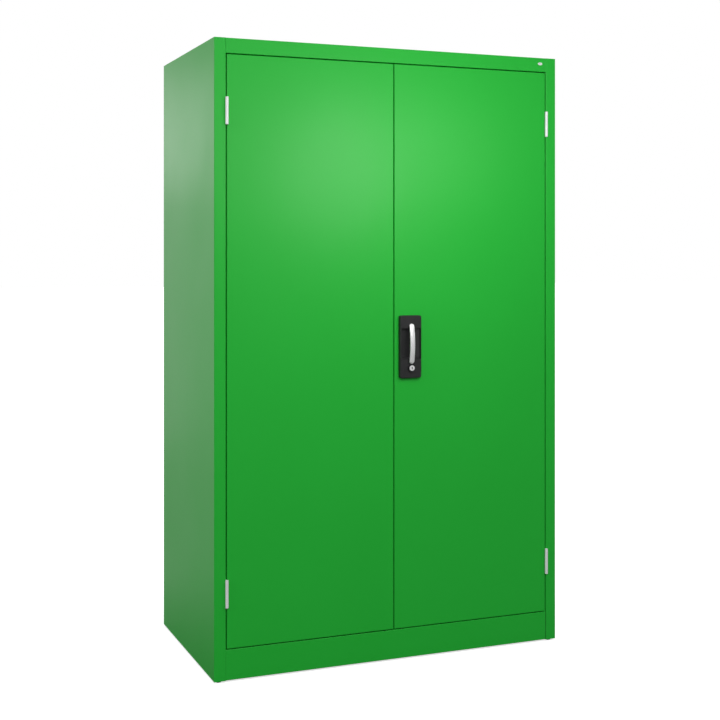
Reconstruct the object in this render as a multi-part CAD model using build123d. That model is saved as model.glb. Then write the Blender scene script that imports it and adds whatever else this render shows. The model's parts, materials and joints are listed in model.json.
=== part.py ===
from build123d import *
import os
from math import acos, cos, pi, radians, sin, tan

# Sheet-steel tool cabinet with two hinged doors, a turning handle with a three-point
# rack-and-pinion lock, four adjustable shelves and four levelling feet.
# Millimetres. +X is to the right of someone facing the doors, +Y is to the back, +Z is up.
# The origin is on the floor, in the middle of the box that holds the whole cabinet.

# ---------------------------------------------------------------- carcass
WIDTH = 1200.0              # over the side panels
DEPTH = 600.0               # over the carcass, without handle and hinges
HEIGHT = 1950.0             # carcass without the feet
FOOT_REACH = 6.0            # how far the feet stand out below the carcass
SHEET = 1.0                 # sheet of carcass, doors and shelves
BEND = 2.0                  # outer radius of every fold

STILE = 37.0                # face of the side panel beside the doors
HEADER = 46.5               # face of the top panel above the doors
PLINTH = 93.0               # face below the doors
PLINTH_SETBACK = 1.5        # plinth face behind the stile faces
RETURN = 26.0               # depth of the fold behind stile, header and sill
LIP = 16.0                  # height and width of the door stops behind those folds
HEADER_FLANGE = 20.0        # header's fold along the top
HEADER_UPTURN = 12.0        # header's last fold, which carries the upper stop
REAR_FLANGE = 18.0          # fold at the rear edge of sides and top
TOP_SIDE_FLANGE = 15.0      # folds of the top panel down along the sides
SILL_SUPPORT = 10.0         # sill behind the stop, under the floor's front fold
PLINTH_FOOT_FOLD = 20.0     # fold at the lower edge of plinth and rear rail
FLOOR_FLANGE = 30.0         # folds of the floor down along sides and back
BACK_GROUND_GAP = 20.0      # lower edge of the back panel above the carcass's edge

# ---------------------------------------------------------------- feet
FOOT_INSET = 18.5           # foot centre from the carcass's side
FOOT_SETBACK = 20.0         # foot centre from the carcass's front and back
FOOT_PAD_FLATS = 19.0       # hexagonal pad, turned with a spanner
FOOT_PAD_HEIGHT = 5.0
FOOT_STEM_RADIUS = 5.0
FOOT_STEM_LENGTH = 52.0
RUNNING_FIT = 0.05          # radial clearance of what turns in a bore
BRACKET_SHEET = 3.0
BRACKET_LENGTH = 60.0
BUSH_FLATS = 17.0           # hexagonal threaded bush
BUSH_HEIGHT = 14.0

# ---------------------------------------------------------------- shelves
RAIL_WIDTH = 30.0
RAIL_DEPTH = 12.0
RAIL_SETBACK = 62.0         # rail from the front and from the back of the carcass
RAIL_TOP_GAP = 20.0
SLOT_PITCH = 50.0
SLOT_LENGTH = 14.0
SLOT_HEIGHT = 3.5
SLOT_FIRST = 62.5           # lowest slot above the floor
SLOT_COUNT = 34
SHELF_COUNT = 4
SLOT_COUNT_TO_FIRST_SHELF = 6
SLOT_COUNT_PER_SHELF = 7
SHELF_HEIGHT = 30.0
SHELF_RETURN = 14.0
SHELF_SIDE_GAP = 1.5
SHELF_FRONT_SETBACK = 45.0
SHELF_REAR_GAP = 12.0
CLIP_SHEET = 2.0
CLIP_WIDTH = 13.0
CLIP_REACH = 14.0
CLIP_HOOK = 9.0
CLIP_HOOK_GAP = 0.3

# ---------------------------------------------------------------- doors
DOOR_GAP = 3.2              # visible gap all round and between the doors
DOOR_DEPTH = 22.0
DOOR_RETURN = 14.0
STIFFENER_WIDTH = 50.0
STIFFENER_DEPTH = 18.0
STIFFENER_FOOT = 12.0
STIFFENER_END_GAP = 30.0

BUFFER_WIDTH = 14.0
BUFFER_HEIGHT = 8.0
BUFFER_GAP = 0.3            # door to rubber buffer
BUFFER_FROM_EDGE = 60.0     # buffers from both upright edges of a door

# ---------------------------------------------------------------- hinges
HINGE_LENGTH = 83.5
HINGE_RADIUS = 5.0
HINGE_SPLIT = 0.3           # gap between the two barrels
HINGE_AXIS_OUT = 5.5        # axis in front of the door faces
HINGE_PIN_RADIUS = 3.0
HINGE_PIN_SHORT = 2.0       # pin end inside the barrel end
LEAF_SHEET = 1.2
LEAF_REACH = 18.0           # leaf behind the door faces
HINGE_FROM_TOP = 172.0      # hinge middle from the door's upper edge
HINGE_FROM_BOTTOM = 168.0   # hinge middle from the door's lower edge

# ---------------------------------------------------------------- handle plate and bow
PLATE_WIDTH = 75.0
PLATE_HEIGHT = 200.0
PLATE_THICKNESS = 14.5
PLATE_CORNER = 6.5
PLATE_EDGE = 1.8
PLATE_X = 53.0              # middle of the plate from the cabinet's middle
PLATE_Z = 997.0             # middle of the plate above the carcass's lower edge
RECESS_FROM_TOP = 41.0      # recess from the plate's upper edge
RECESS_FROM_BOTTOM = 59.5   # and from its lower edge
RECESS_SLOPE = 7.5          # run of the sloping lower end
RECESS_RIM = 3.0
RECESS_FLOOR = 3.0          # floor above the door face, in the middle
RECESS_HOLLOW = 4.0         # rise of the floor towards the rims

PIVOT_DOWN = 36.0           # bow pivot below the plate's upper edge
BOW_ABOVE_PIVOT = 10.0
BOW_FROM_BOTTOM = 46.0      # bow's lower end above the plate's lower edge
BOW_WIDTH = 16.5
BOW_GAP = 1.0               # bow's ends in front of the plate
BOW_END_THICKNESS = 6.5
BOW_MIDDLE_THICKNESS = 8.0
HANDLE_REACH = 30.0         # bow's middle in front of the doors
BOW_EDGE = 2.2
SPINDLE_RADIUS = 4.0
SPINDLE_SQUARE = 6.0
SPINDLE_IN_BOW = 4.0
SPINDLE_TAIL_RADIUS = 2.8
SPINDLE_HOLE_RADIUS = 6.0   # hole in the door face

# ---------------------------------------------------------------- rack-and-pinion lock
MODULE = 1.5
PINION_TEETH = 15
PRESSURE_ANGLE = radians(20)
PINION_ADDENDUM = 1.0       # in modules, as are the next three
PINION_DEDENDUM = 1.1
RACK_ADDENDUM = 0.8
RACK_DEDENDUM = 1.25
BACKLASH = 0.24             # total, shared by pinion and rack
RACK_TEETH = 6
RACK_END = 1.3              # rack body beyond the last tooth's middle, in modules
ROD_OUTER = 27.0            # far side of rods and racks from the pinion's axis
ROD_NEAR = 4.0              # rods lie from here behind the door's face
ROD_THICKNESS = 6.0
LAYER_GAP = 1.0             # between the rods and the centre bolt
BOLT_INNER = 14.0           # centre bolt's side towards the pinion's axis
ROD_END_GAP = 0.5           # rod end inside the door's edge when drawn in
CASE_WALL = 2.0
CASE_BASE = 2.0
CASE_CLEARANCE = 0.2
CASE_DEPTH = 18.0
CASE_EAR = 36.5             # reach of the case's ears from the pinion's axis
CASE_EAR_HEIGHT = 16.0
COVER_SHEET = 1.2
SLOT_CLEARANCE = 1.5        # round rods and bolts where they pass a panel

BOLT_WIDTH = 12.0           # slide bolts of the left door
BOLT_THICKNESS = 4.0
BOLT_NEAR = 6.0
BOLT_TRAVEL = 15.0
BOLT_TAIL = 25.0            # bolt beyond its inner guide when it is shot
BOLT_X = -30.0
KNOB_RADIUS = 4.5
KNOB_LENGTH = 14.0
KNOB_FROM_END = 12.0

GUIDE_SHEET = 1.5
GUIDE_CLEARANCE = 0.3
GUIDE_LENGTH = 20.0
GUIDE_FOOT = 9.0
GUIDE_FROM_EDGE = 60.0      # outer guides from the door's edge
GUIDE_FROM_CASE = 180.0     # inner guides from the pinion's axis
BOLT_GUIDE_SPACING = 70.0
BOLT_LENGTH = GUIDE_FROM_EDGE / 2 + BOLT_GUIDE_SPACING + GUIDE_LENGTH / 2 + BOLT_TRAVEL + BOLT_TAIL

# ---------------------------------------------------------------- key lock and screws
LOCK_UP = 32.6              # lock above the plate's lower edge
LOCK_RIM_RADIUS = 8.8
LOCK_RIM = 1.2
COLLAR_RADIUS = 11.0        # raised collar of the handle plate round the lock
COLLAR_HEIGHT = 7.3
LOCK_BODY_RADIUS = 8.0
LOCK_BODY_BEHIND = 6.0      # body's end behind the door's face
LOCK_NUT = 22.0             # across flats
LOCK_NUT_THICKNESS = 3.0
PLUG_RADIUS = 6.0
PLUG_TAIL = 5.5             # square tail that carries the cam
CAM_THICKNESS = 2.5
CAM_REACH = 20.0
CAM_BITE = 2.0              # how far the cam reaches between the lugs
CAM_WIDTH = 6.6
CAM_HUB_RADIUS = 6.5
LUG_HEIGHT = 8.0            # outer lugs on the lower rod
NOTCH_CLEARANCE = 0.6
KEYWAY_WIDTH = 1.8
KEYWAY_HEIGHT = 8.0
KEYWAY_DEPTH = 7.0

SCREW_RADIUS = 1.5
SCREW_HEAD_FLATS = 5.5
SCREW_HEAD = 2.0
SCREW_BITE = 8.0            # screw's length inside the handle plate
CASE_SCREW_SIDE = 32.6      # case screws beside the pinion's axis
CASE_SCREW_UP = 2.0         # and above it

# ---------------------------------------------------------------- places
FRONT = -(DEPTH - HANDLE_REACH) / 2
BACK = FRONT + DEPTH
BASE = FOOT_REACH
TOP = BASE + HEIGHT
HALF = WIDTH / 2
INSIDE = HALF - SHEET                   # inner face of the side panels
JAMB = HALF - STILE                     # outer face of the fold beside the doors
STOP = FRONT + RETURN                   # front face of the door stops
FLOOR_Z = BASE + PLINTH + LIP
RAIL_FACE = INSIDE - RAIL_DEPTH

DOOR_EDGE = JAMB - DOOR_GAP             # hinged edge of each door
DOOR_MEET = DOOR_GAP / 2                # meeting edge of each door
DOOR_TOP = TOP - HEADER - DOOR_GAP
DOOR_BOTTOM = BASE + PLINTH + DOOR_GAP
DOOR_BACK = FRONT + DOOR_DEPTH

HINGE_X = JAMB - DOOR_GAP / 2
HINGE_Y = FRONT - HINGE_AXIS_OUT
HINGE_HEIGHTS = {"upper": DOOR_TOP - HINGE_FROM_TOP, "lower": DOOR_BOTTOM + HINGE_FROM_BOTTOM}

PLATE_FRONT = FRONT - PLATE_THICKNESS
PLATE_MIDDLE = BASE + PLATE_Z
PLATE_TOP = PLATE_MIDDLE + PLATE_HEIGHT / 2
PLATE_BOTTOM = PLATE_MIDDLE - PLATE_HEIGHT / 2
PIVOT_Z = PLATE_TOP - PIVOT_DOWN
BOW_TOP = PIVOT_Z + BOW_ABOVE_PIVOT
BOW_BOTTOM = PLATE_BOTTOM + BOW_FROM_BOTTOM
LOCK_Z = PLATE_BOTTOM + LOCK_UP
LOCK_FACE = PLATE_FRONT - COLLAR_HEIGHT

PITCH = pi * MODULE
PITCH_RADIUS = MODULE * PINION_TEETH / 2
ROD_TRAVEL = PITCH_RADIUS * pi / 2      # a quarter turn of the handle
BOLT_LAYER = ROD_NEAR + ROD_THICKNESS + LAYER_GAP
CASE_CAVITY = ROD_OUTER + CASE_CLEARANCE
CASE_SIDE = CASE_CAVITY + CASE_WALL
CASE_BACK = FRONT + SHEET + CASE_DEPTH
CAM_NEAR = LOCK_BODY_BEHIND + 1.0
ROD_INNER = CAM_REACH + NOTCH_CLEARANCE     # rod's side towards the pinion's axis
SHELF_BOTTOMS = [
    FLOOR_Z + SLOT_FIRST + SLOT_PITCH * (SLOT_COUNT_TO_FIRST_SHELF + SLOT_COUNT_PER_SHELF * i)
    - SLOT_HEIGHT / 2 + CLIP_SHEET
    for i in range(SHELF_COUNT)
]
RAIL_ROWS = {"front": FRONT + RAIL_SETBACK, "rear": BACK - RAIL_SETBACK - RAIL_WIDTH}


# ---------------------------------------------------------------- helpers
def block(x0, x1, y0, y1, z0, z1):
    """Box between two corners."""
    centre = Pos((x0 + x1) / 2, (y0 + y1) / 2, (z0 + z1) / 2)
    return centre * Box(abs(x1 - x0), abs(y1 - y0), abs(z1 - z0))


def rod_y(x, z, y0, y1, radius):
    """Round bar along Y."""
    return Pos(x, (y0 + y1) / 2, z) * Rot(90, 0, 0) * Cylinder(radius, y1 - y0)


def rod_z(x, y, z0, z1, radius):
    """Round bar along Z."""
    return Pos(x, y, (z0 + z1) / 2) * Cylinder(radius, z1 - z0)


def mirrored(part):
    """The same piece for the other side of the cabinet."""
    return mirror(part, about=Plane.YZ)


def group(parts):
    """Several separate solids of one node."""
    return Compound(children=[solid for part in parts for solid in part.solids()])


def fold(points, sheet=SHEET, bend=BEND):
    """Section of a folded sheet: the points run along one surface, the sheet lies to their left."""
    path = [Vector(*point) for point in points]
    steps = [(b - a).normalized() for a, b in zip(path, path[1:])]
    lefts = [Vector(-step.Y, step.X) for step in steps]
    turns = [a.cross(b).Z > 0 for a, b in zip(steps, steps[1:])]
    inner = [path[0] + lefts[0] * sheet]
    inner += [corner + (a + b) * sheet for corner, a, b in zip(path[1:], lefts, lefts[1:])]
    inner.append(path[-1] + lefts[-1] * sheet)
    outer_bends = [bend if left else bend - sheet for left in turns]
    inner_bends = [bend - sheet if left else bend for left in turns]
    edges = FilletPolyline(*path, radius=outer_bends).edges()
    edges += FilletPolyline(*inner, radius=inner_bends).edges()
    edges += [Edge.make_line(path[0], inner[0]), Edge.make_line(path[-1], inner[-1])]
    return make_face(edges)


def tray(x0, x1, y0, y1, z0, z1, closed):
    """Tray with folded edges, closed at its front ("front") or at its top ("top")."""
    if closed == "front":
        hollow = block(x0 + SHEET, x1 - SHEET, y0 + SHEET, y1, z0 + SHEET, z1 - SHEET)
        axis, end = Axis.Y, 0
    else:
        hollow = block(x0 + SHEET, x1 - SHEET, y0 + SHEET, y1 - SHEET, z0, z1 - SHEET)
        axis, end = Axis.Z, -1
    outer = block(x0, x1, y0, y1, z0, z1)
    outer = fillet(outer.faces().sort_by(axis)[end].edges(), BEND)
    hollow = fillet(hollow.faces().sort_by(axis)[end].edges(), BEND - SHEET)
    return outer - hollow


# ---------------------------------------------------------------- carcass
def side_panel():
    """Left side: rear flange, side, stile face, fold and door stop from one sheet."""
    section = fold([
        (-HALF + REAR_FLANGE, BACK), (-HALF, BACK), (-HALF, FRONT), (-JAMB, FRONT),
        (-JAMB, STOP), (-JAMB + LIP, STOP),
    ])
    panel = extrude(Plane.XY.offset(BASE) * section, amount=HEIGHT)
    above = block(-JAMB, 0, FRONT, BACK - SHEET * 2, TOP - HEADER - LIP, TOP)
    below = block(-JAMB, 0, FRONT, BACK - SHEET * 2, BASE, FLOOR_Z)
    seat = block(-INSIDE, 0, FRONT + SHEET, BACK - SHEET, TOP - SHEET, TOP)
    return panel - above - below - seat


def top_panel():
    """Top plate with flanges at the sides and back, notched round the header."""
    section = fold([(BACK, TOP - REAR_FLANGE), (BACK, TOP), (FRONT + SHEET, TOP)])
    panel = extrude(Plane.YZ.offset(-INSIDE) * section, amount=2 * INSIDE)
    low = TOP - REAR_FLANGE
    panel -= block(-JAMB, JAMB, FRONT, FRONT + HEADER_FLANGE, low, TOP)
    for side in (-1, 1):
        end = side * (HALF - REAR_FLANGE)
        panel -= block(end, side * INSIDE, BACK - SHEET, BACK, low, TOP)
        panel -= block(end, side * INSIDE, BACK - BEND, BACK, low, TOP - SHEET)
        panel += block(
            side * (INSIDE - SHEET), side * INSIDE, STOP + RETURN, BACK - 2 * SHEET - REAR_FLANGE,
            TOP - TOP_SIDE_FLANGE, TOP - SHEET,
        )
    return panel


def header_rail():
    """Face above the doors: flange in the top, face, fold with the rod slots, upturn."""
    section = fold([
        (FRONT + HEADER_FLANGE, TOP), (FRONT, TOP), (FRONT, TOP - HEADER), (STOP, TOP - HEADER),
        (STOP, TOP - HEADER + HEADER_UPTURN),
    ])
    rail = extrude(Plane.YZ.offset(-JAMB) * section, amount=2 * JAMB)
    return rail - rod_slots(TOP - HEADER, 1)


def header_stop():
    """Strip on the header's upturn that stops the doors."""
    return block(-JAMB, JAMB, STOP, STOP + SHEET, TOP - HEADER - LIP, TOP - HEADER + HEADER_UPTURN)


def plinth_panel():
    """Face below the doors with the sill above and a fold at its foot."""
    face = FRONT + PLINTH_SETBACK
    section = fold([
        (STOP + SILL_SUPPORT, BASE + PLINTH), (face, BASE + PLINTH), (face, BASE),
        (face + PLINTH_FOOT_FOLD, BASE),
    ])
    panel = extrude(Plane.YZ.offset(-JAMB) * section, amount=2 * JAMB)
    return panel - rod_slots(BASE + PLINTH - SHEET, -1)


def rod_slots(z, side):
    """Cutters where a locking rod and a slide bolt pass header (side 1) or sill (side -1)."""
    rod = PLATE_X + side * (ROD_INNER + ROD_OUTER) / 2
    near = FRONT + ROD_NEAR - SLOT_CLEARANCE + 0.5
    far = FRONT + ROD_NEAR + ROD_THICKNESS + SLOT_CLEARANCE
    cutters = []
    for x, width in ((rod, ROD_OUTER - ROD_INNER), (BOLT_X, BOLT_WIDTH)):
        half = width / 2 + SLOT_CLEARANCE
        cutters.append(block(x - half, x + half, near, far, z - SHEET, z + 2 * SHEET))
    return cutters


def floor_tray():
    """Cabinet floor; its front fold stands on the sill and stops the doors."""
    rear = BACK - 2 * SHEET
    floor = tray(-INSIDE, INSIDE, STOP, rear, FLOOR_Z - FLOOR_FLANGE, FLOOR_Z, "top")
    low = FLOOR_Z - FLOOR_FLANGE
    floor -= block(-INSIDE, INSIDE, STOP, STOP + BEND + SHEET, low, BASE + PLINTH)
    for side in (-1, 1):
        floor -= block(side * JAMB, side * INSIDE, STOP, STOP + BEND + SHEET, low, FLOOR_Z)
        floor -= block(side * (INSIDE - BEND), side * INSIDE, rear - REAR_FLANGE, rear,
                       low, FLOOR_Z)
    return floor


def back_panel():
    """Back sheet with its folded side edges, in front of the rear flanges."""
    rear = BACK - SHEET
    section = fold([
        (INSIDE, rear - REAR_FLANGE), (INSIDE, rear),
        (-INSIDE, rear), (-INSIDE, rear - REAR_FLANGE),
    ])
    return extrude(Plane.XY.offset(BASE + BACK_GROUND_GAP) * section,
                   amount=HEIGHT - BACK_GROUND_GAP - BEND)


def base_rail_rear():
    """Rail below the back panel, folded forward at its foot."""
    section = fold([(BACK, BASE + PLINTH), (BACK, BASE), (BACK - PLINTH_FOOT_FOLD, BASE)][::-1])
    end = HALF - REAR_FLANGE
    rail = extrude(Plane.YZ.offset(-end) * section, amount=2 * end)
    rail -= [
        block(side * (JAMB - SHEET), side * end, FRONT, BACK - SHEET, BASE, BASE + PLINTH)
        for side in (-1, 1)
    ]
    return rail


def foot_places():
    """Name and place of each foot."""
    rows = {"front": FRONT + FOOT_SETBACK, "rear": BACK - FOOT_SETBACK}
    columns = {"left": -HALF + FOOT_INSET, "right": HALF - FOOT_INSET}
    return {f"{row}_{column}": (columns[column], rows[row]) for row in rows for column in columns}


def foot_brackets():
    """Corner plates with a threaded bush for each foot."""
    brackets = []
    for x, y in foot_places().values():
        side = 1 if x > 0 else -1
        start = FRONT + SHEET if y < 0 else BACK - SHEET - BRACKET_LENGTH
        plate = block(side * (JAMB + SHEET), side * INSIDE, start, start + BRACKET_LENGTH,
                      BASE, BASE + BRACKET_SHEET)
        plate = chamfer(plate.edges().filter_by(Axis.Z), BEND)
        bush = Pos(x, y, BASE) * extrude(RegularPolygon(BUSH_FLATS / 2, 6, major_radius=False),
                                         amount=BUSH_HEIGHT)
        bore = rod_z(x, y, BASE, BASE + BUSH_HEIGHT, FOOT_STEM_RADIUS + RUNNING_FIT)
        brackets.append(plate + bush - bore)
    return group(brackets)


def levelling_foot(x, y):
    """Hexagonal pad and threaded stem."""
    pad = Pos(x, y) * extrude(RegularPolygon(FOOT_PAD_FLATS / 2, 6, major_radius=False),
                              amount=FOOT_PAD_HEIGHT)
    return pad + rod_z(x, y, FOOT_PAD_HEIGHT, FOOT_STEM_LENGTH, FOOT_STEM_RADIUS)


# ---------------------------------------------------------------- shelves
def shelf_rail(y):
    """Left slotted channel, welded to the side panel."""
    section = fold([
        (-INSIDE, y), (-RAIL_FACE, y), (-RAIL_FACE, y + RAIL_WIDTH), (-INSIDE, y + RAIL_WIDTH),
    ])
    height = TOP - RAIL_TOP_GAP - FLOOR_Z
    rail = extrude(Plane.XY.offset(FLOOR_Z) * section, amount=height)
    middle = FLOOR_Z + SLOT_FIRST + SLOT_PITCH * (SLOT_COUNT - 1) / 2
    face = Plane(origin=(-RAIL_FACE, y + RAIL_WIDTH / 2, middle), x_dir=(0, 1, 0), z_dir=(1, 0, 0))
    slot = Box(SLOT_LENGTH, SLOT_HEIGHT, 3 * SHEET)
    return rail - [face * row * slot for row in GridLocations(0, SLOT_PITCH, 1, SLOT_COUNT)]


def shelf_clips():
    """Angle clips that hook into the slots under each shelf corner."""
    hook = -RAIL_FACE - SHEET - CLIP_HOOK_GAP - CLIP_SHEET
    clips = []
    for bottom in SHELF_BOTTOMS:
        low = bottom - CLIP_SHEET
        for y in RAIL_ROWS.values():
            y0, y1 = y + (RAIL_WIDTH - CLIP_WIDTH) / 2, y + (RAIL_WIDTH + CLIP_WIDTH) / 2
            clip = block(hook, -RAIL_FACE + CLIP_REACH, y0, y1, low, bottom)
            clip += block(hook, hook + CLIP_SHEET, y0, y1, low, low + CLIP_HOOK)
            clips += [clip, mirrored(clip)]
    return group(clips)


def shelf(bottom):
    """Folded shelf with box-shaped edges."""
    half = RAIL_FACE - SHELF_SIDE_GAP
    front = FRONT + SHELF_FRONT_SETBACK
    rear = BACK - 2 * SHEET - SHELF_REAR_GAP
    plate = tray(-half, half, front, rear, bottom, bottom + SHELF_HEIGHT, "top")
    rim = block(-half, half, front, rear, bottom, bottom + SHEET)
    rim -= block(-half + SHELF_RETURN, half - SHELF_RETURN, front + SHELF_RETURN,
                 rear - SHELF_RETURN, bottom, bottom + SHEET)
    return plate + rim


# ---------------------------------------------------------------- doors
def door_shell():
    """Left door: a tray with folded edges and a return all round."""
    door = tray(-DOOR_EDGE, -DOOR_MEET, FRONT, DOOR_BACK, DOOR_BOTTOM, DOOR_TOP, "front")
    rim = block(-DOOR_EDGE, -DOOR_MEET, DOOR_BACK - SHEET, DOOR_BACK, DOOR_BOTTOM, DOOR_TOP)
    rim -= block(-DOOR_EDGE + DOOR_RETURN, -DOOR_MEET - DOOR_RETURN, DOOR_BACK - SHEET, DOOR_BACK,
                 DOOR_BOTTOM + DOOR_RETURN, DOOR_TOP - DOOR_RETURN)
    return door + rim


def edge_slot(x, half, near, thickness, z):
    """Cutter for a bar that passes a door's upper or lower edge."""
    return block(x - half - SLOT_CLEARANCE / 2, x + half + SLOT_CLEARANCE / 2,
                 FRONT + near - SLOT_CLEARANCE / 2, FRONT + near + thickness + SLOT_CLEARANCE / 2,
                 z - 2 * SHEET, z + 2 * SHEET)


def bolt_slot(x, clearance):
    """Cutter for the centre bolt through a door's meeting edge."""
    low, high = PIVOT_Z + BOLT_INNER, PIVOT_Z + ROD_OUTER
    return block(x - 2 * SHEET, x + 2 * SHEET, FRONT + BOLT_LAYER - clearance,
                 FRONT + BOLT_LAYER + ROD_THICKNESS + clearance, low - clearance, high + clearance)


def left_door_panel():
    """Passive door with slots for its slide bolts and for the centre bolt."""
    door = door_shell()
    door -= [edge_slot(BOLT_X, BOLT_WIDTH / 2, BOLT_NEAR, BOLT_THICKNESS, z)
             for z in (DOOR_TOP, DOOR_BOTTOM)]
    return door - bolt_slot(-DOOR_MEET, SLOT_CLEARANCE)


def right_door_panel():
    """Active door with slots for rods and bolt, and holes behind the handle plate."""
    door = mirrored(door_shell())
    half = (ROD_OUTER - ROD_INNER) / 2
    middle = ROD_INNER + half
    door -= edge_slot(PLATE_X + middle, half, ROD_NEAR, ROD_THICKNESS, DOOR_TOP)
    door -= edge_slot(PLATE_X - middle, half, ROD_NEAR, ROD_THICKNESS, DOOR_BOTTOM)
    door -= bolt_slot(DOOR_MEET, SLOT_CLEARANCE / 2)
    door -= rod_y(PLATE_X, PIVOT_Z, FRONT, FRONT + SHEET, SPINDLE_HOLE_RADIUS)
    door -= rod_y(PLATE_X, LOCK_Z, FRONT, FRONT + SHEET, LOCK_BODY_RADIUS + RUNNING_FIT)
    door -= [rod_y(x, z, FRONT, FRONT + SHEET, SCREW_RADIUS + RUNNING_FIT)
             for x, z in plate_screws()]
    return door


def door_stiffener():
    """Left door's hat channel, welded to the inside of the face."""
    near, far = FRONT + SHEET, FRONT + SHEET + STIFFENER_DEPTH
    half, foot = STIFFENER_WIDTH / 2, STIFFENER_WIDTH / 2 + STIFFENER_FOOT
    x = -(DOOR_EDGE + DOOR_MEET) / 2
    section = fold([
        (x - foot, near + SHEET), (x - half, near + SHEET), (x - half, far), (x + half, far),
        (x + half, near + SHEET), (x + foot, near + SHEET),
    ][::-1])
    length = DOOR_TOP - DOOR_BOTTOM - 2 * STIFFENER_END_GAP
    return extrude(Plane.XY.offset(DOOR_BOTTOM + STIFFENER_END_GAP) * section, amount=length)


def door_buffers():
    """Rubber pads on the stops above and below the doors."""
    near = DOOR_BACK + BUFFER_GAP
    heights = (DOOR_TOP - DOOR_RETURN / 2, DOOR_BOTTOM + DOOR_RETURN / 2)
    places = (DOOR_MEET + BUFFER_FROM_EDGE, DOOR_EDGE - BUFFER_FROM_EDGE)
    half, rise = BUFFER_WIDTH / 2, BUFFER_HEIGHT / 2
    pads = [block(x - half, x + half, near, STOP, z - rise, z + rise)
            for z in heights for x in places]
    return group(pads + [mirrored(pad) for pad in pads])


# ---------------------------------------------------------------- hinges
def hinge_half(z0, z1, bore, x0, x1):
    """Barrel of a left hinge, and its leaf back into the door gap between x0 and x1."""
    barrel = rod_z(-HINGE_X, HINGE_Y, z0, z1, HINGE_RADIUS)
    leaf = block(x0, x1, HINGE_Y, FRONT + LEAF_REACH, z0, z1)
    return barrel + leaf - rod_z(-HINGE_X, HINGE_Y, z0, z1, bore)


def hinge_frame_leaf(z):
    """Lower barrel, with its leaf on the stile's fold."""
    return hinge_half(z - HINGE_LENGTH / 2, z - HINGE_SPLIT / 2, HINGE_PIN_RADIUS,
                      -JAMB, -JAMB + LEAF_SHEET)


def hinge_door_leaf(z):
    """Upper barrel, with its leaf on the door's edge."""
    return hinge_half(z + HINGE_SPLIT / 2, z + HINGE_LENGTH / 2, HINGE_PIN_RADIUS + RUNNING_FIT,
                      -DOOR_EDGE - LEAF_SHEET, -DOOR_EDGE)


def hinge_pins():
    """Pins pressed into the lower barrels of all hinges."""
    reach = HINGE_LENGTH / 2 - HINGE_PIN_SHORT
    return group([rod_z(side * HINGE_X, HINGE_Y, z - reach, z + reach, HINGE_PIN_RADIUS)
                  for z in HINGE_HEIGHTS.values() for side in (-1, 1)])


# ---------------------------------------------------------------- handle
def plate_screws():
    """Place of each screw through case and door into the handle plate."""
    return [(PLATE_X + side * CASE_SCREW_SIDE, PIVOT_Z + CASE_SCREW_UP) for side in (-1, 1)]


def handle_housing():
    """Moulded plate with a hollow finger recess between two raised ends."""
    outline = RectangleRounded(PLATE_WIDTH, PLATE_HEIGHT, PLATE_CORNER)
    front = Plane(origin=(PLATE_X, FRONT, PLATE_MIDDLE), x_dir=(1, 0, 0), z_dir=(0, -1, 0))
    plate = extrude(front * outline, amount=PLATE_THICKNESS)
    plate = chamfer(plate.faces().sort_by(Axis.Y)[0].edges(), PLATE_EDGE)
    plate += rod_y(PLATE_X, LOCK_Z, PLATE_FRONT - COLLAR_HEIGHT, PLATE_FRONT, COLLAR_RADIUS)
    floor = FRONT - RECESS_FLOOR
    top, bottom = PLATE_TOP - RECESS_FROM_TOP, PLATE_BOTTOM + RECESS_FROM_BOTTOM
    half = PLATE_WIDTH / 2 - RECESS_RIM
    profile = make_face(Polyline(
        (PLATE_FRONT - 1, top), (floor, top), (floor, bottom + RECESS_SLOPE),
        (PLATE_FRONT, bottom), (PLATE_FRONT - 1, bottom), close=True,
    ))
    recess = extrude(Plane.YZ.offset(PLATE_X - half) * profile, amount=2 * half)
    hollow = (half ** 2 + RECESS_HOLLOW ** 2) / (2 * RECESS_HOLLOW)
    recess &= rod_z(PLATE_X, floor - hollow, bottom - 1, top + 1, hollow)
    plate -= recess
    plate -= rod_y(PLATE_X, PIVOT_Z, PLATE_FRONT, FRONT, SPINDLE_RADIUS + RUNNING_FIT)
    plate -= rod_y(PLATE_X, LOCK_Z, LOCK_FACE, FRONT, LOCK_BODY_RADIUS)
    plate -= [rod_y(x, z, FRONT - SCREW_BITE, FRONT, SCREW_RADIUS)
              for x, z in plate_screws()]
    return plate


def handle_bow():
    """Bowed grip with rounded ends, hung from its upper end."""
    near = PLATE_FRONT - BOW_GAP
    far = near - BOW_END_THICKNESS
    reach = FRONT - HANDLE_REACH
    middle = (BOW_TOP + BOW_BOTTOM) / 2
    inner = ThreePointArc((near, BOW_TOP), (reach + BOW_MIDDLE_THICKNESS, middle),
                          (near, BOW_BOTTOM))
    outer = ThreePointArc((far, BOW_TOP), (reach, middle), (far, BOW_BOTTOM))
    side = make_face(inner.edges() + outer.edges()
                     + [Edge.make_line((near, BOW_TOP), (far, BOW_TOP)),
                        Edge.make_line((near, BOW_BOTTOM), (far, BOW_BOTTOM))])
    band = extrude(Plane.YZ.offset(PLATE_X - BOW_WIDTH) * side, amount=2 * BOW_WIDTH)
    face = Plane(origin=(PLATE_X, near, middle), x_dir=(0, 0, 1), z_dir=(0, -1, 0))
    outline = SlotOverall(BOW_TOP - BOW_BOTTOM, BOW_WIDTH)
    bow = band & extrude(face * outline, amount=2 * HANDLE_REACH)
    bow = chamfer(bow.faces().sort_by(Axis.Y)[0].edges(), BOW_EDGE)
    return bow - rod_y(PLATE_X, PIVOT_Z, near - SPINDLE_IN_BOW, near, SPINDLE_RADIUS)


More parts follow.
